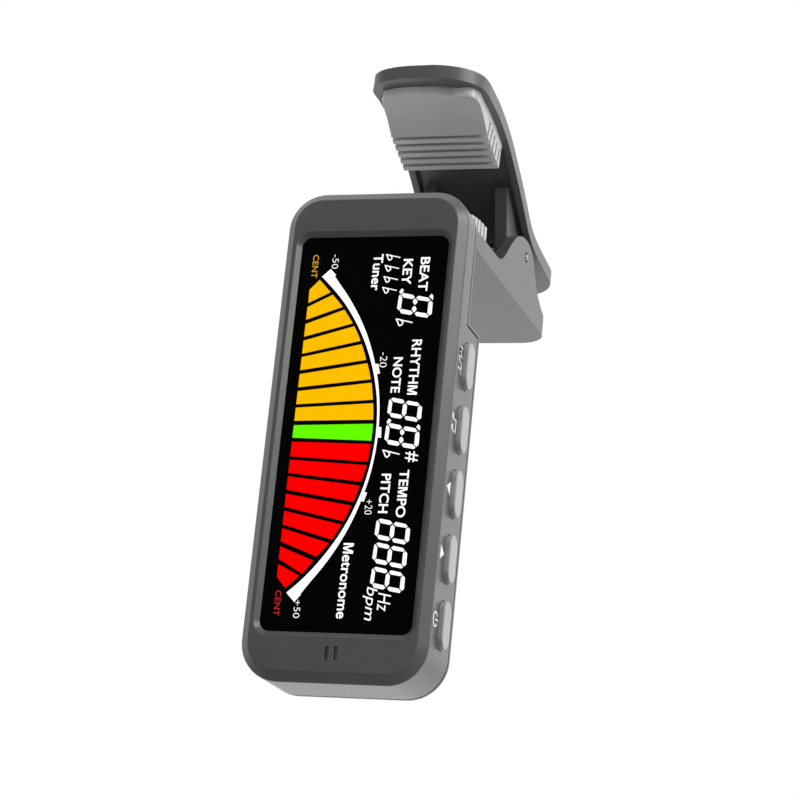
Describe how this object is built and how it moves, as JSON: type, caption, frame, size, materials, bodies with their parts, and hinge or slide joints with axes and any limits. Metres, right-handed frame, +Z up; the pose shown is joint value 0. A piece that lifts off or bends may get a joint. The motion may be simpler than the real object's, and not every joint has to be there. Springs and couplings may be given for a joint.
{
  "type": "clip-on instrument tuner",
  "caption": "Clip-on instrument tuner: a slim rounded body with a display and side buttons, on a tilting swivel and a sprung clip that grips a headstock.",
  "frame": {"origin": "centre of the flat bottom end of the body", "axes": "+Z up along the body towards the clip, +X towards the side buttons, display faces -Y"},
  "size_m": [0.0319, 0.0796, 0.112],
  "materials": {
    "case_grey": "fine satin, dark grey",
    "cover_grey": "fine satin, dark grey",
    "clip_grey": "fine satin, dark grey",
    "light_grey_rubber": "soft satin, light grey",
    "display_black": "smooth, semi-gloss black",
    "lcd_glass": "polished, dark",
    "light_guide": "smooth white",
    "circuit_green": "solder mask over laminate",
    "black_plastic": "moulded",
    "steel": "bright",
    "brass": "bright"
  },
  "bodies": {
    "body": {"front_case": "case_grey", "back_cover": "cover_grey", "cover_screw_1": "steel", "cover_screw_2": "steel", "cover_screw_3": "steel", "cover_screw_4": "steel", "display_lens": "display_black", "lcd_panel": "lcd_glass", "backlight_plate": "light_guide", "lcd_connector": "black_plastic", "circuit_board": "circuit_green", "main_chip": "black_plastic", "microphone": "steel", "vibration_sensor": "brass", "piezo_buzzer": "brass", "switch_mode": "black_plastic", "switch_note": "black_plastic", "switch_up": "black_plastic", "switch_down": "black_plastic", "switch_power": "black_plastic", "coin_cell": "steel", "cell_holder": "black_plastic", "battery_positive_contact": "brass", "battery_negative_contact": "brass"},
    "button_mode_body": {"button_mode": "light_grey_rubber"},
    "button_note_body": {"button_note": "light_grey_rubber"},
    "button_up_body": {"button_up": "light_grey_rubber"},
    "button_down_body": {"button_down": "light_grey_rubber"},
    "button_power_body": {"button_power": "light_grey_rubber"},
    "door": {"battery_door": "cover_grey"},
    "hub": {"swivel_hub": "clip_grey", "swivel_washer": "steel", "swivel_screw": "steel", "tilt_pin": "steel"},
    "base": {"clip_base": "clip_grey", "lower_pad": "light_grey_rubber", "hinge_pin": "steel", "torsion_spring": "steel"},
    "lever": {"clip_lever": "clip_grey", "upper_pad": "light_grey_rubber"}
  },
  "joints": [
    {"name": "button_mode_press", "type": "slide", "parent": "body", "child": "button_mode_body", "axis": [-1, 0, 0], "range_m": [0, 0.0004], "stiffness_N_per_m": 40},
    {"name": "button_note_press", "type": "slide", "parent": "body", "child": "button_note_body", "axis": [-1, 0, 0], "range_m": [0, 0.0004], "stiffness_N_per_m": 40},
    {"name": "button_up_press", "type": "slide", "parent": "body", "child": "button_up_body", "axis": [-1, 0, 0], "range_m": [0, 0.0004], "stiffness_N_per_m": 40},
    {"name": "button_down_press", "type": "slide", "parent": "body", "child": "button_down_body", "axis": [-1, 0, 0], "range_m": [0, 0.0004], "stiffness_N_per_m": 40},
    {"name": "button_power_press", "type": "slide", "parent": "body", "child": "button_power_body", "axis": [-1, 0, 0], "range_m": [0, 0.0004], "stiffness_N_per_m": 40},
    {"name": "battery_door_turn", "type": "hinge", "parent": "body", "child": "door", "pos_m": [-0.0023, 0.0065, 0.022], "axis": [0, 1, 0], "range_deg": [0, 60]},
    {"name": "swivel", "type": "hinge", "parent": "body", "child": "hub", "pos_m": [0, 0, 0.0715], "axis": [0, 1, 0], "range_deg": [-90, 90]},
    {"name": "tilt", "type": "hinge", "parent": "hub", "child": "base", "pos_m": [0, 0.0093, 0.0715], "axis": [1, 0, 0], "range_deg": [-90, 15]},
    {"name": "jaw", "type": "hinge", "parent": "base", "child": "lever", "pos_m": [0, 0.04922, 0.09128], "axis": [1, 0, 0], "range_deg": [-18, 29]}
  ]
}
